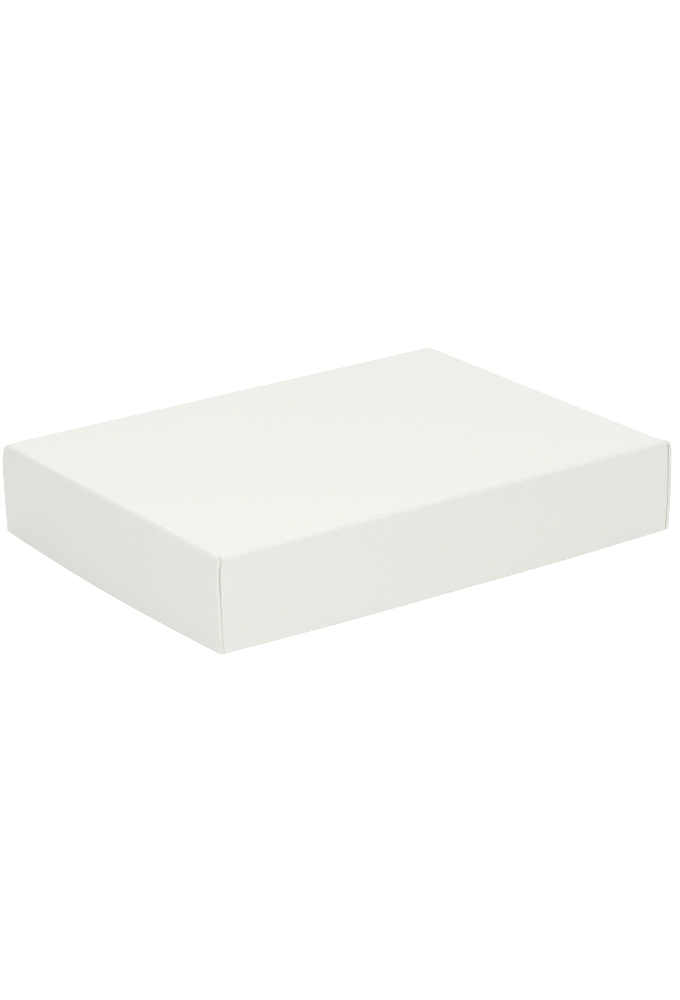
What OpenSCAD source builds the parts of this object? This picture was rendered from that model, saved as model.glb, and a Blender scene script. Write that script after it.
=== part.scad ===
// Board game box in two halves, a lid that telescopes over a base.
// Each half is one blank of white board: a main panel, two long walls, two end walls
// and four corner flaps. The flaps are folded off the long walls' ends and glued
// behind the end walls, so every wall is one board thick and ends in a cut edge.
// The frame's origin is the middle of the base's underside, with +X along the long
// side and +Z up. Front is -Y and left is -X. The lid is shown closed.

/* [Box] */
// Outside length of the lid
lid_length = 267; // [150:1:400]
// Outside width of the lid
lid_width = 203; // [110:1:300]
// Height of the closed box
box_height = 48; // [30:1:120]

/* [Board] */
// Thickness of the board
board = 1.5; // [0.8:0.1:2.5]
// Inside radius of the folds round a main panel
fold_inner_r = 0.5; // [0.5:0.1:1]
// Inside radius of a flap's upright fold, which is creased sharply
crease_inner_r = 0.3; // [0.2:0.1:0.5]
// Outside radius of a flap's upright fold
crease_outer_r = 1; // [0.6:0.1:1.2]

/* [Fit] */
// Gap all round between the base and what it faces inside the lid
side_gap = 1.2; // [1:0.1:3]
// Height of the lid's rim above the surface that the base stands on
rim_gap = 0.4; // [0.2:0.1:5]

/* [Corners] */
// Length of a corner flap from its fold to its free end
flap_length = 30; // [15:1:40]
// Amount that a flap's edges draw in at its free end, so that it clears the folds
flap_taper = 3; // [1:0.5:5]
// Gap between a flap's upper edge and the main panel's fold, where a slit parts the two
slit_gap = 0.2; // [0.2:0.1:1.5]

/* [Glue] */
// Thickness of the glue between a flap and its end wall
glue_thickness = 0.1; // [0.05:0.05:0.3]
// Width of a glue line
glue_width = 4; // [2:0.5:5]
// Share of the flap's height that a glue line takes
glue_share = 0.6; // [0.3:0.05:0.7]

/* [Hidden] */
$fn = 64;

fold_r = fold_inner_r + board;
// Side of the square that a flap's upright fold fills at its corner
crease = crease_inner_r + board;
// From a half's outer end face to the outer face of its flaps
flap_inset = board + glue_thickness;
// Half length and half width over the outside of each half of the box
lid_half = [lid_length / 2, lid_width / 2];
base_half = [
    lid_half.x - flap_inset - board - side_gap,
    lid_half.y - board - side_gap,
];
lid_depth = box_height - rim_gap;
base_depth = box_height - board;
// Where the two glue lines of a flap run, as shares of its length
glue_places = [0.3, 0.72];

LEFT = 0;
RIGHT = 1;
FRONT = 0;
BACK = 1;

// Section through a fold and the wall beyond it. x is the distance in from the wall's
// outer face, and y the distance from the main panel's outer face.
module fold_section() {
    intersection() {
        translate([fold_r, fold_r]) difference() {
            circle(r = fold_r);
            circle(r = fold_inner_r);
        }
        square(fold_r);
    }
}

// Section through a flap's upright fold. x is the distance in from the flap's outer face.
module crease_section() {
    straight = crease - crease_outer_r;
    intersection() {
        square(crease);
        difference() {
            union() {
                translate([crease_outer_r, crease_outer_r]) circle(r = crease_outer_r);
                translate([crease_outer_r, 0]) square([straight, crease]);
                translate([0, crease_outer_r]) square([crease, straight]);
            }
            translate([crease, crease]) circle(r = crease_inner_r);
        }
    }
}

module wall_section(depth) {
    translate([0, fold_r]) square([board, depth - fold_r]);
}

// Each half of the box is drawn with its main panel's outer face at z = 0 and its walls
// rising, and its pieces as they are at the front left. half is [half length, half width].
module main_panel(half) {
    flat = [2 * (half.x - fold_r), 2 * (half.y - fold_r), board];
    translate([-flat.x / 2, -flat.y / 2, 0]) cube(flat);
}

// The fold reaches the main panel's corner, and the wall stops where the flap's fold begins.
module long_wall(half, depth) {
    wall_run = 2 * (half.x - flap_inset - crease);
    fold_run = 2 * (half.x - fold_r);
    translate([0, -half.y, 0]) rotate([90, 0, 90]) {
        linear_extrude(height = fold_run, center = true) fold_section();
        linear_extrude(height = wall_run, center = true) wall_section(depth);
    }
}

// The end wall runs right across, and its cut edges are flush with the long walls.
module end_wall(half, depth) {
    translate([-half.x, 0, 0]) rotate([90, 0, 0]) linear_extrude(height = 2 * half.y, center = true) {
        fold_section();
        wall_section(depth);
    }
}

module corner_flap(half, depth) {
    upright = depth - fold_r - slit_gap;
    translate([-half.x + flap_inset, -half.y, fold_r + slit_gap]) {
        linear_extrude(height = upright) crease_section();
        translate([0, crease, 0]) rotate([90, 0, 90]) linear_extrude(height = board) polygon([
            [0, 0],
            [flap_length, flap_taper],
            [flap_length, upright - flap_taper],
            [0, upright],
        ]);
    }
}

// A glue line stands upright and has round ends.
module glue_line(height) {
    straight = height - glue_width;
    linear_extrude(height = glue_thickness) {
        translate([-glue_width / 2, -straight / 2]) square([glue_width, straight]);
        for (end = [-1, 1]) translate([0, end * straight / 2]) circle(d = glue_width);
    }
}

module flap_glue(half, depth) {
    middle = (fold_r + slit_gap + depth) / 2;
    height = glue_share * (depth - fold_r - slit_gap);
    for (share = glue_places)
        translate([-half.x + board, -half.y + crease + share * flap_length, middle])
            rotate([90, 0, 90]) glue_line(height);
}

// Moves a piece drawn at the front left to another end or side of its half.
module at(end, side) {
    mirror([end, 0, 0]) mirror([0, side, 0]) children();
}

module all_corners() {
    for (end = [LEFT, RIGHT], side = [FRONT, BACK]) at(end, side) children();
}

// Turns a half over, with its main panel at the top of the closed box.
module as_lid() {
    translate([0, 0, box_height]) mirror([0, 0, 1]) children();
}

module base_piece() { color([0.95, 0.95, 0.93]) children(); }
module lid_piece() { color([0.97, 0.97, 0.95]) as_lid() children(); }
module glue_colour() { color([0.93, 0.90, 0.80]) children(); }

module base_floor() { base_piece() main_panel(base_half); }
module base_front_wall() { base_piece() at(LEFT, FRONT) long_wall(base_half, base_depth); }
module base_back_wall() { base_piece() at(LEFT, BACK) long_wall(base_half, base_depth); }
module base_left_end() { base_piece() at(LEFT, FRONT) end_wall(base_half, base_depth); }
module base_right_end() { base_piece() at(RIGHT, FRONT) end_wall(base_half, base_depth); }
module base_flap_front_left() { base_piece() at(LEFT, FRONT) corner_flap(base_half, base_depth); }
module base_flap_front_right() { base_piece() at(RIGHT, FRONT) corner_flap(base_half, base_depth); }
module base_flap_back_left() { base_piece() at(LEFT, BACK) corner_flap(base_half, base_depth); }
module base_flap_back_right() { base_piece() at(RIGHT, BACK) corner_flap(base_half, base_depth); }
module base_corner_glue() { glue_colour() all_corners() flap_glue(base_half, base_depth); }

module lid_top() { lid_piece() main_panel(lid_half); }
module lid_front_wall() { lid_piece() at(LEFT, FRONT) long_wall(lid_half, lid_depth); }
module lid_back_wall() { lid_piece() at(LEFT, BACK) long_wall(lid_half, lid_depth); }
module lid_left_end() { lid_piece() at(LEFT, FRONT) end_wall(lid_half, lid_depth); }
module lid_right_end() { lid_piece() at(RIGHT, FRONT) end_wall(lid_half, lid_depth); }
module lid_flap_front_left() { lid_piece() at(LEFT, FRONT) corner_flap(lid_half, lid_depth); }
module lid_flap_front_right() { lid_piece() at(RIGHT, FRONT) corner_flap(lid_half, lid_depth); }
module lid_flap_back_left() { lid_piece() at(LEFT, BACK) corner_flap(lid_half, lid_depth); }
module lid_flap_back_right() { lid_piece() at(RIGHT, BACK) corner_flap(lid_half, lid_depth); }
module lid_corner_glue() { glue_colour() as_lid() all_corners() flap_glue(lid_half, lid_depth); }

base_floor();
base_front_wall();
base_back_wall();
base_left_end();
base_right_end();
base_flap_front_left();
base_flap_front_right();
base_flap_back_left();
base_flap_back_right();
base_corner_glue();
lid_top();
lid_front_wall();
lid_back_wall();
lid_left_end();
lid_right_end();
lid_flap_front_left();
lid_flap_front_right();
lid_flap_back_left();
lid_flap_back_right();
lid_corner_glue();
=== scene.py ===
# Looks of the two-piece board game box: every panel, wall and flap of its two folded blanks,
# rebuilt as bowed board, with the photograph's camera, floor and light.

import math

import bmesh
import bpy
import numpy as np
from mathutils import Matrix, Vector


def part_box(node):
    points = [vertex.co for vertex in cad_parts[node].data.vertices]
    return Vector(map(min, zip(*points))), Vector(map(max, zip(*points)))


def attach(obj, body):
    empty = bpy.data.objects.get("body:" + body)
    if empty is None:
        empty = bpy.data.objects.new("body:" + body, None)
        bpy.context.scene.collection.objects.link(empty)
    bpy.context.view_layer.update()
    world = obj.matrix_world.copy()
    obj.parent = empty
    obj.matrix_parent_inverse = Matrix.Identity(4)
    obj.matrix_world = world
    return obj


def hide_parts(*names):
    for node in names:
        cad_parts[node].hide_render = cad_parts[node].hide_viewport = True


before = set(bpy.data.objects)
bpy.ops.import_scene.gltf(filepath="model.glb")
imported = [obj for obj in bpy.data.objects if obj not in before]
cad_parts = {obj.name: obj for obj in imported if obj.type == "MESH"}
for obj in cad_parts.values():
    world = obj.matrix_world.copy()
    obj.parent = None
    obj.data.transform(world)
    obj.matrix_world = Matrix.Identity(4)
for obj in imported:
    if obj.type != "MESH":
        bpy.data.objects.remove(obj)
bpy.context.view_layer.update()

MM = 0.001

# ---------------------------------------------------------------------------------------------
# Measures taken from the frame
# ---------------------------------------------------------------------------------------------

MAIN_PANEL = {"lid": "lid_top", "base": "base_floor"}
ENDS = {"left": -1, "right": 1}
SIDES = {"front": -1, "back": 1}

# Share of the slit over a flap that stays open once the board's cut edges have swelled
SLIT_LEFT_OPEN = 0.4


class Half:
    """One half of the box, measured off its CAD nodes. q is the distance from the main panel's outer
    face towards the rim, and h is the share of the wall below the fold, from 0 to 1 at the rim."""

    def __init__(self, body):
        self.body = body
        panel_low, panel_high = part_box(MAIN_PANEL[body])
        wall_low, wall_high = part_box(f"{body}_front_wall")
        end_low, end_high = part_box(f"{body}_left_end")
        flap_low, flap_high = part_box(f"{body}_flap_front_left")
        self.board = panel_high.z - panel_low.z
        self.fold = wall_high.y - wall_low.y
        self.half_x, self.half_y = -end_low.x, -end_low.y
        self.depth = end_high.z - end_low.z
        self.flap_inset = flap_low.x - end_low.x
        # Side of the square that a flap's upright fold fills at its corner
        self.crease = flap_high.x - flap_low.x
        self.flap_length = flap_high.y - flap_low.y - self.crease
        self.slit = SLIT_LEFT_OPEN * (self.depth - self.fold - (flap_high.z - flap_low.z))
        self.panel_z = end_high.z if body == "lid" else end_low.z
        self.to_rim = -1 if body == "lid" else 1
        self.fold_run = math.pi / 2 * self.fold
        self.wall_height = self.depth - self.fold
        self.wall_half_run = self.half_x - self.flap_inset - self.crease
        # Run round the outside of a flap's upright fold, near enough
        self.crease_run = 1.75 * self.crease

    def place(self, x, y, q):
        """Frame coordinates of points at x, y and q, on a half whose corners don't stand quite true."""
        right, back = (np.clip(v, -1, 1) / 2 + 0.5 for v in (x / self.half_x, y / self.half_y))
        down = np.clip(q / self.depth, 0, 1)
        moved = np.stack([x, y, q], axis=-1)
        for (end, side), shift in RIM_SHIFT[self.body].items():
            share = down * (right if end > 0 else 1 - right) * (back if side > 0 else 1 - back)
            moved = moved + share[..., None] * MM * np.array(shift)
        for (end, side), shift in CORNER_DENT[self.body].items():
            away = (x - end * self.half_x) ** 2 + (y - side * self.half_y) ** 2 + q**2
            moved = moved + np.exp(-away / DENT_SIZE**2)[..., None] * MM * np.array(shift)
        moved[..., 2] = self.panel_z + self.to_rim * moved[..., 2]
        return moved


# ---------------------------------------------------------------------------------------------
# How each half stands out of true, in mm
# ---------------------------------------------------------------------------------------------

# How far the rim's corners have shifted along x, y and q, by the corner's end and side. The base's
# rim stands a little low, so that it stays clear of the lid's top.
RIM_SHIFT = {
    "lid": {(-1, -1): (-1.15, -1.7, -0.1), (1, -1): (0.2, -0.4, 0)},
    "base": {(-1, -1): (0, 0, -0.15), (1, -1): (0, 0, -0.15), (-1, 1): (0, 0, -0.4), (1, 1): (0, 0, -0.15)},
}
# How far the main panel's corners have been knocked, and how far round the knocks reach
CORNER_DENT = {
    "lid": {(-1, 1): (1.1, -0.3, 0.5), (1, -1): (1.6, 0, -0.2)},
    "base": {},
}
DENT_SIZE = 6 * MM
# Outward bow of each end wall, at its front edge, middle and back edge: its belly, which is highest
# just under the fold because the board springs back there, and its rim
END_BELLY = {
    "lid_left": (1.1, 0.7, 0.5),
    "lid_right": (2.1, 2.0, 1.2),
    "base_left": (0.3, 0.6, 0.3),
    "base_right": (0.3, 0.5, 0.3),
}
END_RIM = {
    "lid_left": (-0.2, 2.9, -0.2),
    "lid_right": (0.3, 2.3, 0.2),
    "base_left": (0.1, 0.9, 0.1),
    "base_right": (0.1, 0.8, 0.1),
}
# Outward bow of the middle of each long wall, which its flaps hold at both ends
LONG_BELLY = {"lid_front": 0.3, "lid_back": 0.4, "base_front": 0.2, "base_back": 0.25}
LONG_RIM = {"lid_front": 2.1, "lid_back": 0.8, "base_front": 0.5, "base_back": 0.45}
# Sag of the middle of each main panel, away from its outer face
PANEL_SAG = {"lid": 0.35, "base": 0.15}

# Share of a wall's height over which its spring-back at the fold dies away
SPRING_BACK = 0.075
# What the curve of a belly is scaled by, so that its highest point comes to about the given value
BELLY_SCALE = 1.12


def through_three(values, along):
    """The parabola through three values at along = -1, 0 and 1."""
    low, middle, high = values
    return middle + (high - low) / 2 * along + ((high + low) / 2 - middle) * along**2


def bowed(belly, rim, h):
    """Outward bow at h of a wall with the given belly and rim."""
    return MM * (BELLY_SCALE * belly * (1 - np.exp(-h / SPRING_BACK)) * (1 - h**2) + rim * h)


def end_bow(half, end, along, h):
    """Outward bow of an end wall, in metres. along is y as a share of the half width."""
    wall = f"{half.body}_{end}"
    return bowed(through_three(END_BELLY[wall], along), through_three(END_RIM[wall], along), h)


def long_bow(half, side, along, h):
    """Outward bow of a long wall, in metres. along is x as a share of the wall's half run."""
    wall = f"{half.body}_{side}"
    free = (1 - np.clip(along, -1, 1) ** 4) ** 2
    return bowed(LONG_BELLY[wall] * free, LONG_RIM[wall] * free, h)


def smooth_step(t):
    t = np.clip(t, 0, 1)
    return t * t * (3 - 2 * t)


# Width of the crevice that opens between an end wall that bows out and its flaps' upright folds,
# under the main panel and at the rim, and the power by which it closes in between
CREVICE_TOP = {"left": 0.75 * MM, "right": 0.62 * MM}
CREVICE_RIM = {"left": 0.02 * MM, "right": 0.48 * MM}
CREVICE_CLOSES = 2.2


def crease_bow(half, end, side, h):
    """How far a flap's upright fold moves out with its end wall. It lags by the crevice's width, but
    it can't lag behind where the wall leans in."""
    bow = end_bow(half, end, SIDES[side], h)
    rim = CREVICE_RIM[end]
    crevice = rim + (CREVICE_TOP[end] - rim) * (1 - np.clip(h, 0, 1)) ** CREVICE_CLOSES
    return bow - crevice * (1 - np.exp(-np.maximum(bow, 0) / crevice))


# Board is never quite flat: a few long waves, the same for every piece, so that seams still meet.
RIPPLE_SIZE = 0.03 * MM
RIPPLE_SHORTEST, RIPPLE_LONGEST = 16 * MM, 70 * MM
RIPPLE_COUNT = 14


def ripple_waves():
    """Wave vector and phase of each wave, in directions taken at random."""
    random = np.random.default_rng(7)
    waves = []
    for _ in range(RIPPLE_COUNT):
        direction = random.normal(size=3)
        direction /= np.linalg.norm(direction)
        length = random.uniform(RIPPLE_SHORTEST, RIPPLE_LONGEST)
        waves.append((2 * math.pi / length * direction, random.uniform(0, 2 * math.pi)))
    return waves


RIPPLE_WAVES = ripple_waves()


def ripple(points):
    """How far the ripples raise the board's surface at some points in the frame."""
    total = sum(np.sin(points @ wave + phase) for wave, phase in RIPPLE_WAVES)
    return RIPPLE_SIZE * total / math.sqrt(RIPPLE_COUNT)


# ---------------------------------------------------------------------------------------------
# Surfaces. Each is a function of a (along the piece), s (from its fold to its free edge) and w
# (into the board from its outer face), all in metres, which returns points in the frame.
# ---------------------------------------------------------------------------------------------


def offset(half, outer, normal, w):
    """Points w deep in the board below outer points with outward normals."""
    return outer + normal * (ripple(outer) - w)[..., None]


def panel_surface(half):
    flat_x, flat_y = half.half_x - half.fold, half.half_y - half.fold

    def surface(a, s, w):
        sag = PANEL_SAG[half.body] * MM * (1 - (a / flat_x) ** 2) ** 2 * (1 - (s / flat_y) ** 2) ** 2
        outer = half.place(a, s, sag)
        normal = np.broadcast_to([0, 0, -half.to_rim], outer.shape)
        return offset(half, outer, normal, w)

    return surface


# Turn that the board takes all at once where a fold begins, along its scored line
LONG_SCORE, END_SCORE = math.radians(24), math.radians(5)
# How far along its tangents a fold's curve is pulled, as a share of the way to where they cross
FOLD_PULL = 0.55


def wall_profile(half, bow, s, score):
    """Section through a fold and its wall. Returns the distance out from the true wall's face, q, and
    the outward normal's two components. bow(h) is the wall's outward bow."""
    step = 1e-4
    fold = half.fold
    lean = (bow(np.full_like(s, step)) - bow(np.zeros_like(s))) / (step * half.wall_height)
    t = np.clip(s / half.fold_run, 0, 1)
    # The tangents at the fold's two ends cross at this distance from its start. lean has to be under 1.
    crossing = fold * (1 - lean) / (math.cos(score) - lean * math.sin(score))
    cross_out, cross_q = crossing * math.cos(score) - fold, crossing * math.sin(score)
    fold_points = [
        (np.full_like(s, -fold), np.zeros_like(s)),
        (-fold + FOLD_PULL * (cross_out + fold), FOLD_PULL * cross_q),
        (FOLD_PULL * cross_out, fold + FOLD_PULL * (cross_q - fold)),
        (np.zeros_like(s), np.full_like(s, fold)),
    ]
    weights = [(1 - t) ** 3, 3 * t * (1 - t) ** 2, 3 * t**2 * (1 - t), t**3]
    fold_out, fold_q = (sum(k * p[i] for k, p in zip(weights, fold_points)) for i in (0, 1))
    slopes = [3 * (1 - t) ** 2, 6 * t * (1 - t), 3 * t**2]
    fold_d = [
        sum(k * (fold_points[n + 1][i] - fold_points[n][i]) for n, k in enumerate(slopes))
        for i in (0, 1)
    ]
    h = np.maximum(s - half.fold_run, 0) / half.wall_height
    on_wall = s > half.fold_run
    wall_slope = (bow(h + step) - bow(h - step)) / (2 * step * half.wall_height)
    out = np.where(on_wall, bow(h), fold_out)
    q = np.where(on_wall, half.fold + s - half.fold_run, fold_q)
    d_out = np.where(on_wall, wall_slope, fold_d[0])
    d_q = np.where(on_wall, 1.0, fold_d[1])
    length = np.hypot(d_out, d_q)
    return out, q, d_q / length, -d_out / length


# Gap between the end of a long wall's fold and the end wall, and the share of the fold's run over
# which it opens
FOLD_END_GAP = 0.05 * MM
GAP_OPENS = 0.12
# Share of the fold's run after which its end reaches in under the end wall
REACHES_IN_FROM = 0.6


def long_wall_surface(half, side):
    """The fold ends just short of the end wall: of the seam's end first, and then of its inner face."""
    sign = SIDES[side]
    flat_x = half.half_x - half.fold
    fold_end = flat_x - FOLD_END_GAP
    reach_in = half.fold - half.board

    def surface(a, s, w):
        along = a / half.wall_half_run
        h = np.maximum(s - half.fold_run, 0) / half.wall_height
        pushed = np.where(along < 0, *(crease_bow(half, end, side, h) for end in ENDS))
        run = flat_x + (fold_end - flat_x) * smooth_step(s / (GAP_OPENS * half.fold_run))
        reached = (s / half.fold_run - REACHES_IN_FROM) / (1 - REACHES_IN_FROM)
        run = run + reach_in * smooth_step(reached)
        run = run + (half.wall_half_run - run) * smooth_step((s - half.fold_run) / half.slit)
        x = along * (run + pushed)
        out, q, n_out, n_q = wall_profile(half, lambda h: long_bow(half, side, along, h), s, LONG_SCORE)
        outer = half.place(x, sign * (half.half_y + out), q)
        normal = np.stack([np.zeros_like(x), sign * n_out, half.to_rim * n_q], axis=-1)
        return offset(half, outer, normal, w)

    return surface


# How far an end wall's cut side edges stand out past the CAD's board, fitted to the strip that the
# photograph shows, which is wider than that board. Then how much of the crevice behind them they
# fill by standing inward, and how far in from them that dies away.
SWELL_OUT = 0.35 * MM
CREVICE_FILLED = {"left": 0, "right": 0.97}
SWELL_REACH = 1.5 * MM
# Least share of an end fold's reach past the panel's corner that is kept where it is cut back
LEAST_KEPT = 0.1


def end_wall_surface(half, end):
    """The ends of its fold are cut back round the long walls' folds."""
    sign = ENDS[end]
    flat_y = half.half_y - half.fold

    def surface(a, s, w):
        round_fold = np.sin(math.pi / 2 * np.clip(s / half.fold_run, 0, 1))
        kept = np.maximum(round_fold, LEAST_KEPT)
        beyond = np.maximum(np.abs(a) - flat_y, 0)
        a = a - np.sign(a) * beyond * (1 - kept)
        along = a / half.half_y
        h = np.maximum(s - half.fold_run, 0) / half.wall_height
        side_bows = [crease_bow(half, end, side, h) for side in SIDES]
        crevice = end_bow(half, end, np.sign(a), h) - np.where(a < 0, *side_bows)
        crevice = crevice + half.flap_inset - half.board
        swollen = round_fold * np.exp(-(half.half_y - np.abs(a)) / SWELL_REACH)
        depth = w / half.board
        w = w + swollen * (CREVICE_FILLED[end] * crevice * depth - SWELL_OUT * (1 - depth))
        out, q, n_out, n_q = wall_profile(half, lambda h: end_bow(half, end, along, h), s, END_SCORE)
        outer = half.place(sign * (half.half_x + out), a, q)
        normal = np.stack([sign * n_out, np.zeros_like(a), half.to_rim * n_q], axis=-1)
        return offset(half, outer, normal, w)

    return surface


# Distance along the flap over which it comes up against a wall that bows away from it
FLAP_CATCHES_UP = 9 * MM
# Exponent of the superellipse round an upright fold, at its top and rim: 2 is a circle, and more is
# squarer. It changes from one to the other as this power of h.
CREASE_POWER_TOP = {"left": 2.7, "right": 7.0}
CREASE_POWER_RIM = 8.0
CREASE_CHANGES = 1.5
# Amount that a flap's edges draw in at its free end
FLAP_TAPER = 3 * MM


def flap_surface(half, end, side):
    """a runs round the upright fold and along the flap, and s from the slit to the rim."""
    sign_x, sign_y = ENDS[end], SIDES[side]
    crease_inside = half.crease - half.board
    middle = half.depth / 2 + (half.fold + half.slit) / 2
    reach = half.depth - middle

    def surface(a, s, w):
        angle = np.clip(a / half.crease_run, 0, 1) * math.pi / 2
        plate = np.maximum(a - half.crease_run, 0)
        sin, cos = np.sin(angle), np.cos(angle)
        q = middle + (s - middle) * (1 - FLAP_TAPER / reach * plate / half.flap_length)
        h = np.clip((q - half.fold) / half.wall_height, 0, 1)
        # The fold's outside is a square corner with a well rounded tip, and its inside is a small arc.
        top_power = CREASE_POWER_TOP[end]
        power = top_power + (CREASE_POWER_RIM - top_power) * h**CREASE_CHANGES
        outside = half.crease * (sin**power + cos**power) ** (-1 / power)
        radius = outside - w / half.board * (outside - crease_inside)
        x_out = half.flap_inset + half.crease - radius * sin
        y_in = half.crease - radius * cos + plate
        y = half.half_y - y_in
        bow = end_bow(half, end, sign_y * y / half.half_y, h)
        at_crease = crease_bow(half, end, side, h)
        caught_up = at_crease + (bow - at_crease) * smooth_step(plate / FLAP_CATCHES_UP)
        x = half.half_x - x_out + np.minimum(caught_up, bow)
        points = half.place(sign_x * x, sign_y * y, q)
        normal = np.stack([sign_x * sin, sign_y * cos, np.zeros_like(q)], axis=-1)
        return points + normal * ripple(points)[..., None]

    return surface


# ---------------------------------------------------------------------------------------------
# Board pieces as closed meshes: outer face, inner face and the edges between them
# ---------------------------------------------------------------------------------------------

# A cut edge is rounded more on the outside, where it is handled
OUTER_ROUNDING, INNER_ROUNDING = 0.38 * MM, 0.16 * MM
# Radius, near enough, of the corner where two cut edges meet
CORNER_ROUNDING = 0.9 * MM
# Kinds of face, which are also their materials' places in a piece's list
FACE, EDGE, BACK = 0, 1, 2
# Cosine of the widest turn between two faces of a cut edge that shade as one
GENTLE_TURN = 0.6
# How finely a surface is stepped to find its normals
NORMAL_STEP = 0.02 * MM


def edge_profile(board):
    """(inset, depth) across a cut edge, from the outer face to the inner one."""

    def arc(radius, angles):
        turns = [math.radians(angle) for angle in angles]
        return [(radius * (1 - math.sin(turn)), radius * (1 - math.cos(turn))) for turn in turns]

    outer = arc(OUTER_ROUNDING, (0, 22.5, 45, 67.5, 90))
    inner = arc(INNER_ROUNDING, (90, 45, 0))
    return [*outer, (0, 0.6 * board), *((inset, board - depth) for inset, depth in inner)]


def spaced(low, high, step, fine=()):
    """Values from low to high about step apart, with extra ones at the fine distances from both ends."""
    inner_low, inner_high = low + max(fine, default=0), high - max(fine, default=0)
    count = max(1, round((inner_high - inner_low) / step))
    values = set(np.linspace(inner_low, inner_high, count + 1).round(9))
    for f in (0, *fine):
        values |= {round(low + f, 9), round(high - f, 9)}
    return np.array(sorted(values))


def derivative_normal(surface, a, s, w):
    """Unit normals of a surface at depth w, pointing out of the outer face."""
    d = NORMAL_STEP
    along_a = surface(a + d, s, w) - surface(a - d, s, w)
    along_s = surface(a, s + d, w) - surface(a, s - d, w)
    normal = np.cross(along_a, along_s)
    outward = surface(a, s, w - d) - surface(a, s, w + d)
    normal *= np.sign(np.sum(normal * outward, axis=-1))[..., None]
    return normal / np.linalg.norm(normal, axis=-1)[..., None]


def round_corners(a, s, a_ends, s_ends, free):
    """Draws the sharp corners between two cut edges in to an arc."""
    a, s = np.array(a, float), np.array(s, float)
    for a_edge, a_in, a_free in zip(a_ends, (1, -1), free[:2]):
        for s_edge, s_in, s_free in zip(s_ends, (1, -1), free[2:]):
            if not (a_free and s_free):
                continue
            u = 1 - (a - a_edge) * a_in / CORNER_ROUNDING
            v = 1 - (s - s_edge) * s_in / CORNER_ROUNDING
            near = (u > 0) & (v > 0)
            u_in = u * np.sqrt(np.maximum(1 - v * v / 2, 0))
            v_in = v * np.sqrt(np.maximum(1 - u * u / 2, 0))
            a = np.where(near, a_edge + (1 - u_in) * CORNER_ROUNDING * a_in, a)
            s = np.where(near, s_edge + (1 - v_in) * CORNER_ROUNDING * s_in, s)
    return a, s


def border(grid):
    """The vertices round the border of a grid of them, in order."""
    return [*grid[:, 0], *grid[-1, 1:], *grid[-2::-1, -1], *grid[0, -2:0:-1]]


def quads(grid):
    """The faces of a grid of vertices."""
    corners = np.stack([grid[:-1, :-1], grid[1:, :-1], grid[1:, 1:], grid[:-1, 1:]], axis=-1)
    return corners.reshape(-1, 4).tolist()


def bands(rings):
    """The faces between each ring of vertices and the next."""
    faces = []
    for upper, lower in zip(rings, rings[1:]):
        for m in range(len(upper)):
            after = (m + 1) % len(upper)
            faces.append([int(v) for v in (upper[after], upper[m], lower[m], lower[after])])
    return faces


def band_uvs(ring_points, depths):
    """UVs of the faces between rings: the distance round the first ring, and the depth."""
    steps = np.linalg.norm(ring_points - np.roll(ring_points, -1, axis=0), axis=1)
    around = np.concatenate([[0], np.cumsum(steps)])
    uvs = []
    for upper, lower in zip(depths, depths[1:]):
        for here, after in zip(around, around[1:]):
            uvs.append([(after, upper), (here, upper), (here, lower), (after, lower)])
    return uvs


def board_piece(name, half, surface, a_values, s_values, free, materials):
    """A closed piece of board. free says which edges are cut: a low, a high, s low, s high. The other
    edges are seams, where the board carries on into the next piece. Two cut edges meet in a rounded
    corner."""
    a_ends, s_ends = (a_values[0], a_values[-1]), (s_values[0], s_values[-1])
    grid_a, grid_s = (g.ravel() for g in np.meshgrid(a_values, s_values, indexing="ij"))
    count = len(grid_a)
    grid = np.arange(count).reshape(len(a_values), len(s_values))
    # Which way the points on a cut edge move to go in from it
    inset_a = free[0] * (grid_a == a_ends[0]) - free[1] * (grid_a == a_ends[1])
    inset_s = free[2] * (grid_s == s_ends[0]) - free[3] * (grid_s == s_ends[1])

    def at(a, s, w):
        return surface(*round_corners(a, s, a_ends, s_ends, free), w)

    def row(inset, depth, chosen=slice(None)):
        a = (grid_a + inset * inset_a)[chosen]
        s = (grid_s + inset * inset_s)[chosen]
        return a, s, np.full_like(a, depth)

    profile = edge_profile(half.board)
    outer_at, inner_at = row(*profile[0]), row(*profile[-1])
    loop = border(grid)
    points = [at(*outer_at), at(*inner_at)]
    points += [at(*row(inset, depth, loop)) for inset, depth in profile[1:-1]]
    points = np.concatenate(points)
    between_faces = [2 * count + n * len(loop) + np.arange(len(loop)) for n in range(len(profile) - 2)]
    rings = [np.array(loop), *between_faces, np.array(loop) + count]

    outer_faces = quads(grid)
    inner_faces = [quad[::-1] for quad in quads(grid + count)]
    edge_faces = bands(rings)
    faces = outer_faces + inner_faces + edge_faces
    kinds = [FACE] * len(outer_faces) + [BACK] * len(inner_faces) + [EDGE] * len(edge_faces)
    uvs = [[(grid_a[v % count], grid_s[v % count]) for v in face] for face in outer_faces + inner_faces]
    uvs += band_uvs(points[loop], [depth for _, depth in profile])

    mesh = board_mesh(name, points, faces, kinds, uvs)
    mark_sharp(mesh, (rings[0], rings[-1]))
    face_normals = derivative_normal(at, *outer_at), derivative_normal(at, *inner_at)
    set_normals(mesh, kinds, face_normals, count)
    for material in materials:
        mesh.materials.append(material)
    piece = bpy.data.objects.new(name, mesh)
    bpy.context.scene.collection.objects.link(piece)
    return piece


def board_mesh(name, points, faces, kinds, uvs):
    """A closed mesh with its faces turned outward, and a kind and UVs for each face."""
    mesh = bpy.data.meshes.new(name)
    mesh.from_pydata(points.tolist(), [], faces)
    mesh.update()
    if inside_out(points, faces):
        mesh.flip_normals()
    uv_layer = mesh.uv_layers.new(name="board")
    for polygon, face, kind, uv in zip(mesh.polygons, faces, kinds, uvs):
        polygon.material_index = kind
        polygon.use_smooth = True
        for loop_index in polygon.loop_indices:
            corner = face.index(mesh.loops[loop_index].vertex_index)
            uv_layer.data[loop_index].uv = uv[corner]
    return mesh


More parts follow.
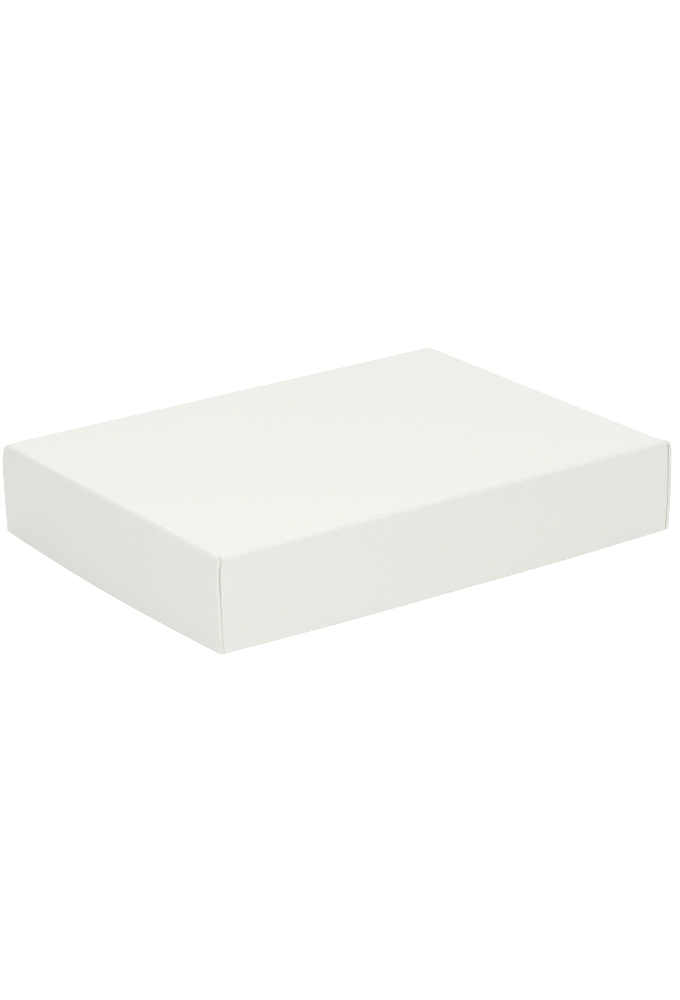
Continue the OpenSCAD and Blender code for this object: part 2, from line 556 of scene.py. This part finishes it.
def inside_out(points, faces):
    """Whether a closed mesh's faces wind so that its volume comes out negative."""
    p = (points - points.mean(axis=0))[np.array(faces)]
    halves = np.cross(p[:, 1], p[:, 2]) + np.cross(p[:, 2], p[:, 3])
    return np.sum(p[:, 0] * halves) < 0


def mark_sharp(mesh, rings):
    """Parts the two faces' shading from the edges' shading."""
    steps = (pair for ring in rings for pair in zip(ring, np.roll(ring, -1)))
    pairs = {tuple(sorted((int(a), int(b)))) for a, b in steps}
    for edge in mesh.edges:
        edge.use_edge_sharp = tuple(sorted(edge.vertices)) in pairs


def set_normals(mesh, kinds, face_normals, count):
    """The two faces shade by the true surface, so that seams between pieces don't show. A cut edge
    shades by its own faces, smoothed over gentle turns only."""
    outer, inner = face_normals
    edge_faces = {}
    for polygon, kind in zip(mesh.polygons, kinds):
        if kind == EDGE:
            for v in polygon.vertices:
                edge_faces.setdefault(v, []).append(np.array(polygon.normal))
    normals = []
    for polygon, kind in zip(mesh.polygons, kinds):
        own = np.array(polygon.normal)
        for v in polygon.vertices:
            if kind == FACE:
                normals.append(outer[v])
            elif kind == BACK:
                normals.append(-inner[v - count])
            else:
                near = [n for n in edge_faces[v] if n @ own > GENTLE_TURN]
                mean = np.sum(near, axis=0)
                normals.append(mean / np.linalg.norm(mean))
    mesh.normals_split_custom_set([tuple(n) for n in normals])


# ---------------------------------------------------------------------------------------------
# Materials
# ---------------------------------------------------------------------------------------------


def new_material(name):
    material = bpy.data.materials.new(name)
    material.use_nodes = True
    nodes, links = material.node_tree.nodes, material.node_tree.links
    return material, nodes, links, nodes["Principled BSDF"]


def noise(nodes, links, vector, scale, detail=2.0, stretch=(1, 1, 1)):
    mapping = nodes.new("ShaderNodeMapping")
    mapping.inputs["Scale"].default_value = stretch
    links.new(vector, mapping.inputs["Vector"])
    texture = nodes.new("ShaderNodeTexNoise")
    texture.inputs["Scale"].default_value = scale
    texture.inputs["Detail"].default_value = detail
    links.new(mapping.outputs["Vector"], texture.inputs["Vector"])
    return texture.outputs["Fac"]


def grey(level):
    return (level,) * 3


def between(nodes, links, factor, low, high, colours):
    """Turns a factor from low to high into one of two colours, or a mix of them."""
    ramp = nodes.new("ShaderNodeValToRGB")
    ramp.color_ramp.elements[0].position = low
    ramp.color_ramp.elements[1].position = high
    for element, colour in zip(ramp.color_ramp.elements, colours):
        element.color = (*colour, 1)
    links.new(factor, ramp.inputs["Fac"])
    return ramp.outputs["Color"]


def multiply(nodes, links, first, second):
    mix = nodes.new("ShaderNodeMix")
    mix.data_type = "RGBA"
    mix.blend_type = "MULTIPLY"
    mix.inputs["Factor"].default_value = 1.0
    links.new(first, mix.inputs["A"])
    links.new(second, mix.inputs["B"])
    return mix.outputs["Result"]


def bump_from(nodes, links, heights, shader):
    """Bumps from (height, distance, strength), the last one nearest the surface."""
    previous = None
    for height, distance, strength in heights:
        bump_node = nodes.new("ShaderNodeBump")
        bump_node.inputs["Distance"].default_value = distance
        bump_node.inputs["Strength"].default_value = strength
        links.new(height, bump_node.inputs["Height"])
        if previous is not None:
            links.new(previous, bump_node.inputs["Normal"])
        previous = bump_node.outputs["Normal"]
    links.new(previous, shader.inputs["Normal"])


def scaled(colour, factor):
    return tuple(c * f for c, f in zip(colour, factor))


def board_face(name, colour, warmth, grain):
    """Smooth uncoated white board: flecks of warmer fibre, drawn out along the board and gathered in
    clouds, and a fine tooth."""
    material, nodes, links, shader = new_material(name)
    where = nodes.new("ShaderNodeTexCoord").outputs["Object"]
    clouds = noise(nodes, links, where, 24, 1.0)
    flecks = noise(nodes, links, where, 300, 4.0, stretch=(0.8, 1.4, 2.4))
    cloud_mask = between(nodes, links, clouds, 0.40, 0.58, (grey(0), grey(1)))
    fleck_mask = between(nodes, links, flecks, 0.49, 0.56, (grey(0), grey(1)))
    fleck_share = multiply(nodes, links, cloud_mask, fleck_mask)
    fleck_colour = scaled(colour, (1 + 0.3 * warmth, 1 - 0.1 * warmth, 1 - warmth))
    tone = between(nodes, links, fleck_share, 0, 1, (colour, fleck_colour))
    specks = noise(nodes, links, where, 1500, 2.0)
    fine = between(nodes, links, specks, 0.3, 0.7, (grey(1 - grain), grey(1)))
    links.new(multiply(nodes, links, tone, fine), shader.inputs["Base Color"])
    rough = nodes.new("ShaderNodeMapRange")
    rough.inputs["To Min"].default_value = 0.52
    rough.inputs["To Max"].default_value = 0.66
    links.new(clouds, rough.inputs["Value"])
    links.new(rough.outputs["Result"], shader.inputs["Roughness"])
    shader.inputs["Specular IOR Level"].default_value = 0.3
    tooth = noise(nodes, links, where, 2600, 2.0)
    swell = noise(nodes, links, where, 260, 2.0, stretch=(0.5, 1, 1))
    bump_from(nodes, links, [(swell, 0.03 * MM, 0.25), (tooth, 0.02 * MM, 0.35)], shader)
    return material


def board_edge(name, colour):
    """The cut edge: pressed plies that run along it, with fibres pulled by the knife."""
    material, nodes, links, shader = new_material(name)
    where = nodes.new("ShaderNodeUVMap")
    where.uv_map = "board"
    plies = noise(nodes, links, where.outputs["UV"], 1, 3.0, stretch=(120, 5200, 1))
    fibres = noise(nodes, links, where.outputs["UV"], 1, 4.0, stretch=(2400, 3200, 1))
    ply_colours = scaled(colour, (0.96, 0.955, 0.935)), scaled(colour, (1.01, 1.01, 1.0))
    tone = between(nodes, links, plies, 0.3, 0.7, ply_colours)
    fine = between(nodes, links, fibres, 0.3, 0.7, (grey(0.96), grey(1)))
    links.new(multiply(nodes, links, tone, fine), shader.inputs["Base Color"])
    shader.inputs["Roughness"].default_value = 0.85
    shader.inputs["Specular IOR Level"].default_value = 0.2
    bump_from(nodes, links, [(plies, 0.05 * MM, 0.5), (fibres, 0.03 * MM, 0.5)], shader)
    return material


def glue_material(name):
    """Dried glue: cream, glossy and a little uneven."""
    material, nodes, links, shader = new_material(name)
    where = nodes.new("ShaderNodeTexCoord").outputs["Object"]
    clots = noise(nodes, links, where, 420, 3.0)
    tone = between(nodes, links, clots, 0.35, 0.7, ((0.74, 0.69, 0.54), (0.84, 0.81, 0.69)))
    links.new(tone, shader.inputs["Base Color"])
    shader.inputs["Roughness"].default_value = 0.28
    bump_from(nodes, links, [(clots, 0.08 * MM, 0.6)], shader)
    return material


WHITE = (0.809, 0.816, 0.778)
MATERIALS = {
    "lid": [
        board_face("lid_board_outside", WHITE, 0.03, 0.035),
        board_edge("lid_board_cut_edge", (0.828, 0.83, 0.785)),
        board_face("lid_board_inside", (0.78, 0.77, 0.705), 0.05, 0.04),
    ],
    "base": [
        board_face("base_board_outside", scaled(WHITE, (0.99, 0.99, 0.985)), 0.032, 0.035),
        board_edge("base_board_cut_edge", (0.81, 0.81, 0.765)),
        board_face("base_board_inside", (0.77, 0.76, 0.695), 0.05, 0.04),
    ],
}
GLUE = glue_material("dried_glue")


# ---------------------------------------------------------------------------------------------
# The pieces of each half
# ---------------------------------------------------------------------------------------------

# Steps round a fold and an upright fold
FOLD_STEPS, CREASE_STEPS = 14, 14
# Distances in from a cut edge at which a piece has extra rows, and its plain step elsewhere
EDGE_FINE = tuple(MM * d for d in (0.7, 1.1, 2.5))
PLAIN_STEP = 5 * MM


def finished(piece, half, node):
    """Puts a finished piece in its node's place, on its half of the box."""
    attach(piece, half.body)
    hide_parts(node)
    return piece


def add_board(half, node, surface, a_values, s_values, free):
    materials = MATERIALS[half.body]
    piece = board_piece(f"{node}_sheet", half, surface, a_values, s_values, free, materials)
    return finished(piece, half, node)


def several(*parts):
    """The values in all the parts, in order and once each."""
    return np.unique(np.round(np.concatenate(parts), 9))


def build_half(half):
    body = half.body
    flat_x, flat_y = half.half_x - half.fold, half.half_y - half.fold
    along_x = spaced(-flat_x, flat_x, PLAIN_STEP, (PLAIN_STEP / 2,))
    along_y = spaced(-flat_y, flat_y, PLAIN_STEP, (PLAIN_STEP / 2,))
    # From the slit, where a flap begins, to the rim
    flap_rows = spaced(half.fold + half.slit, half.depth, PLAIN_STEP / 2, EDGE_FINE)
    fold_rows = np.linspace(0, half.fold_run, FOLD_STEPS + 1)
    wall_rows = several(fold_rows, flap_rows - half.fold + half.fold_run)
    long_columns = along_x * half.wall_half_run / flat_x
    edge_columns = spaced(flat_y, half.half_y, half.fold / 2, EDGE_FINE[:1])
    end_columns = several(-edge_columns, along_y, edge_columns)
    flap_end = half.crease_run + half.flap_length
    flap_columns = several(
        np.linspace(0, half.crease_run, CREASE_STEPS + 1),
        spaced(half.crease_run, flap_end, PLAIN_STEP / 2, EDGE_FINE[:2]),
    )

    add_board(half, MAIN_PANEL[body], panel_surface(half), along_x, along_y, (0, 0, 0, 0))
    for side in SIDES:
        surface = long_wall_surface(half, side)
        add_board(half, f"{body}_{side}_wall", surface, long_columns, wall_rows, (0, 0, 0, 1))
    for end in ENDS:
        surface = end_wall_surface(half, end)
        add_board(half, f"{body}_{end}_end", surface, end_columns, wall_rows, (1, 1, 0, 1))
        for side in SIDES:
            surface = flap_surface(half, end, side)
            add_board(half, f"{body}_flap_{side}_{end}", surface, flap_columns, flap_rows, (0, 1, 1, 1))
    add_glue(half)


# Where the glue lines run, as shares of a flap's length, the share of its height that they take,
# and their half width
GLUE_PLACES = (0.3, 0.72)
GLUE_SHARE = 0.6
GLUE_HALF_WIDTH = 2 * MM
# Points across and along each face of a glue line
GLUE_GRID = (5, 25)


def glue_line(half, end, side, place, phases):
    """Points on both faces of one upright line of glue, uneven and with round ends."""
    across_count, along_count = GLUE_GRID
    t = np.linspace(-1, 1, along_count)
    round_ends = np.sqrt(np.maximum(1 - np.abs(t) ** 8, 0.02))
    wobble = 1 + 0.14 * np.sin(5 * t + phases[0]) + 0.07 * np.sin(13 * t + phases[1])
    drift = 0.5 * MM * np.sin(2.2 * t + phases[2])
    low, high = half.fold + half.slit, half.depth
    q = (low + high) / 2 + (high - low) / 2 * GLUE_SHARE * t
    h = np.clip((q - half.fold) / half.wall_height, 0, 1)
    points = []
    for depth in (0, half.flap_inset - half.board):
        for across in np.linspace(-1, 1, across_count):
            from_side = half.crease + place * half.flap_length + drift
            from_side = from_side + across * GLUE_HALF_WIDTH * round_ends * wobble
            y = SIDES[side] * (half.half_y - from_side)
            bow = end_bow(half, end, y / half.half_y, h)
            x = ENDS[end] * (half.half_x + bow - half.board - depth)
            points.extend(half.place(x, y, q).tolist())
    return points


def add_glue(half):
    """Two lines of glue behind each flap, pressed flat between the flap and its end wall."""
    random = np.random.default_rng(11)
    points, faces = [], []
    for end in ENDS:
        for side in SIDES:
            for place in GLUE_PLACES:
                first = len(points)
                phases = random.uniform(0, 2 * math.pi, size=4)
                points += glue_line(half, end, side, place, phases)
                outer, inner = np.arange(first, len(points)).reshape(2, *GLUE_GRID)
                faces += quads(outer)
                faces += [quad[::-1] for quad in quads(inner)]
                faces += bands([border(outer), border(inner)])
    mesh = bpy.data.meshes.new(f"{half.body}_corner_glue_lines")
    mesh.from_pydata(points, [], faces)
    recalculate_outward(mesh)
    mesh.materials.append(GLUE)
    piece = bpy.data.objects.new(mesh.name, mesh)
    bpy.context.scene.collection.objects.link(piece)
    finished(piece, half, f"{half.body}_corner_glue")


def recalculate_outward(mesh):
    work = bmesh.new()
    work.from_mesh(mesh)
    bmesh.ops.recalc_face_normals(work, faces=work.faces)
    work.to_mesh(mesh)
    work.free()


HALVES = {body: Half(body) for body in ("base", "lid")}
for half in HALVES.values():
    build_half(half)


# ---------------------------------------------------------------------------------------------
# Camera, floor and light
# ---------------------------------------------------------------------------------------------

# The photograph's view, as angles in degrees, a distance in metres and a lens in millimetres
CAMERA_AZIMUTH, CAMERA_ELEVATION, CAMERA_ROLL = -34.10, 20.06, -1.256
CAMERA_DISTANCE, CAMERA_LENS = 1.658, 117.66
# Where the camera looks, right and up of the frame's origin as the camera sees it
CAMERA_AIM = (0.00267, 0.01592)


def add_camera():
    angles = CAMERA_AZIMUTH, CAMERA_ELEVATION, CAMERA_ROLL
    azimuth, elevation, roll = (math.radians(angle) for angle in angles)
    forward = Vector((-math.sin(azimuth), math.cos(azimuth), 0))
    back = -math.cos(elevation) * forward + Vector((0, 0, math.sin(elevation)))
    level = Vector((math.cos(azimuth), math.sin(azimuth), 0))
    upright = back.cross(level)
    data = bpy.data.cameras.new("camera")
    data.lens, data.sensor_width = CAMERA_LENS, 36
    data.clip_start, data.clip_end = 0.05, 60
    camera = bpy.data.objects.new("camera", data)
    right = math.cos(roll) * level + math.sin(roll) * upright
    up = -math.sin(roll) * level + math.cos(roll) * upright
    camera.matrix_world = Matrix.Translation(
        back * CAMERA_DISTANCE + level * CAMERA_AIM[0] + upright * CAMERA_AIM[1]
    ) @ Matrix((right, up, back)).transposed().to_4x4()
    bpy.context.scene.collection.objects.link(camera)
    bpy.context.scene.camera = camera


# Half the floor's side, how far it lies under the box, and its two tones
FLOOR_HALF = 6.0
FLOOR_DROP = 0.1 * MM
FLOOR_TONES = (0.595, 0.605)
# The floor's own glow, which makes up for the softboxes' light where that fades, far from the object
GLOW_NEAR, GLOW_FAR = (0.35, 0.48), (1.5, 0.58)
# Extra glow that only the camera sees, so that the floor is as clear of shadow as a cut-out
GLOW_SEEN = 0.6
# Extra glow of the floor along the long walls, which makes up for their own shade, the distance over
# which it fades away from them, and how far it reaches in under the box
GLOW_FOOT, GLOW_FOOT_WIDTH, GLOW_FOOT_UNDER = 0.09, 50 * MM, 6 * MM


def foot_glow(nodes, links, where):
    """Glow that is highest at the foot of both long walls and fades away from them."""
    foot = HALVES["lid"].half_y
    reach = 2 * foot
    apart = nodes.new("ShaderNodeSeparateXYZ")
    links.new(where, apart.inputs["Vector"])
    across = nodes.new("ShaderNodeMath")
    across.operation = "ABSOLUTE"
    links.new(apart.outputs["Y"], across.inputs[0])
    share = nodes.new("ShaderNodeMath")
    share.operation = "DIVIDE"
    share.inputs[1].default_value = reach
    links.new(across.outputs["Value"], share.inputs[0])
    ramp = nodes.new("ShaderNodeValToRGB")
    steps = ramp.color_ramp.elements
    steps[0].position = (foot - GLOW_FOOT_UNDER) / reach
    steps[1].position = (foot + GLOW_FOOT_WIDTH) / reach
    top = steps.new(foot / reach)
    for step in steps:
        step.color = (*grey(0), 1)
    top.color = (*grey(GLOW_FOOT), 1)
    links.new(share.outputs["Value"], ramp.inputs["Fac"])
    return ramp.outputs["Color"]


def clear_from_below(nodes, links, shader):
    """Lets a view from under the floor show the object's underside."""
    clear = nodes.new("ShaderNodeBsdfTransparent")
    mix = nodes.new("ShaderNodeMixShader")
    links.new(nodes.new("ShaderNodeNewGeometry").outputs["Backfacing"], mix.inputs["Fac"])
    links.new(shader.outputs["BSDF"], mix.inputs[1])
    links.new(clear.outputs["BSDF"], mix.inputs[2])
    links.new(mix.outputs["Shader"], nodes["Material Output"].inputs["Surface"])


def floor_material():
    """Pale and matte, with a glow of its own."""
    material, nodes, links, shader = new_material("pale_floor")
    where = nodes.new("ShaderNodeTexCoord").outputs["Object"]
    patches = noise(nodes, links, where, 3, 2.0)
    tone = between(nodes, links, patches, 0.3, 0.7, [grey(level) for level in FLOOR_TONES])
    links.new(tone, shader.inputs["Base Color"])
    shader.inputs["Roughness"].default_value = 0.9
    shader.inputs["Specular IOR Level"].default_value = 0.1
    shader.inputs["Emission Color"].default_value = (1, 1, 1, 1)
    distance = nodes.new("ShaderNodeVectorMath")
    distance.operation = "LENGTH"
    links.new(where, distance.inputs[0])
    glow = nodes.new("ShaderNodeMapRange")
    links.new(distance.outputs["Value"], glow.inputs["Value"])
    for name, value in zip(("From Min", "To Min", "From Max", "To Max"), (*GLOW_NEAR, *GLOW_FAR)):
        glow.inputs[name].default_value = value
    lit = nodes.new("ShaderNodeMath")
    lit.operation = "ADD"
    seen = nodes.new("ShaderNodeMath")
    seen.operation = "MULTIPLY_ADD"
    seen.inputs[1].default_value = GLOW_SEEN
    links.new(nodes.new("ShaderNodeLightPath").outputs["Is Camera Ray"], seen.inputs[0])
    links.new(glow.outputs["Result"], lit.inputs[0])
    links.new(foot_glow(nodes, links, where), lit.inputs[1])
    links.new(lit.outputs["Value"], seen.inputs[2])
    links.new(seen.outputs["Value"], shader.inputs["Emission Strength"])
    clear_from_below(nodes, links, shader)
    return material


def add_floor():
    mesh = bpy.data.meshes.new("floor")
    corners = [(-1, -1), (1, -1), (1, 1), (-1, 1)]
    points = [(FLOOR_HALF * x, FLOOR_HALF * y, -FLOOR_DROP) for x, y in corners]
    mesh.from_pydata(points, [], [[0, 1, 2, 3]])
    mesh.materials.append(floor_material())
    floor = bpy.data.objects.new("floor", mesh)
    bpy.context.scene.collection.objects.link(floor)


def add_softbox(name, place, size, power):
    """A round area light that faces the frame's origin and isn't seen itself."""
    data = bpy.data.lights.new(name, "AREA")
    data.shape = "DISK"
    data.size, data.energy = size, power
    light = bpy.data.objects.new(name, data)
    light.location = place
    light.rotation_mode = "QUATERNION"
    light.rotation_quaternion = Vector(place).to_track_quat("Z", "Y")
    light.visible_camera = False
    bpy.context.scene.collection.objects.link(light)


# Brightness of the light tent: level to all sides, and how much it gains towards +X, +Y and overhead
TENT_LEVEL, TENT_GAIN = 0.2012, (0.128, 0.085, 1.025)


def add_tent():
    """Soft light from all sides, as in a light tent that is lit from above and behind."""
    world = bpy.data.worlds.new("light_tent")
    world.use_nodes = True
    nodes, links = world.node_tree.nodes, world.node_tree.links
    gain = nodes.new("ShaderNodeVectorMath")
    gain.operation = "DOT_PRODUCT"
    gain.inputs[1].default_value = TENT_GAIN
    links.new(nodes.new("ShaderNodeTexCoord").outputs["Generated"], gain.inputs[0])
    level = nodes.new("ShaderNodeMath")
    level.operation = "ADD"
    level.inputs[1].default_value = TENT_LEVEL
    links.new(gain.outputs["Value"], level.inputs[0])
    background = nodes["Background"]
    background.inputs["Color"].default_value = (1, 1, 1, 1)
    links.new(level.outputs["Value"], background.inputs["Strength"])
    bpy.context.scene.world = world


add_camera()
add_floor()
add_tent()
add_softbox("overhead_softbox", (0.15, 0.35, 1.30), size=1.0, power=2.2)
add_softbox("front_softbox", (-0.75, -1.0, 0.38), size=0.7, power=1.25)
add_softbox("corner_softbox", (-0.40, -0.52, 0.75), size=0.5, power=1.29)
bpy.context.scene.view_settings.view_transform = "Standard"
bpy.context.scene.view_settings.look = "None"
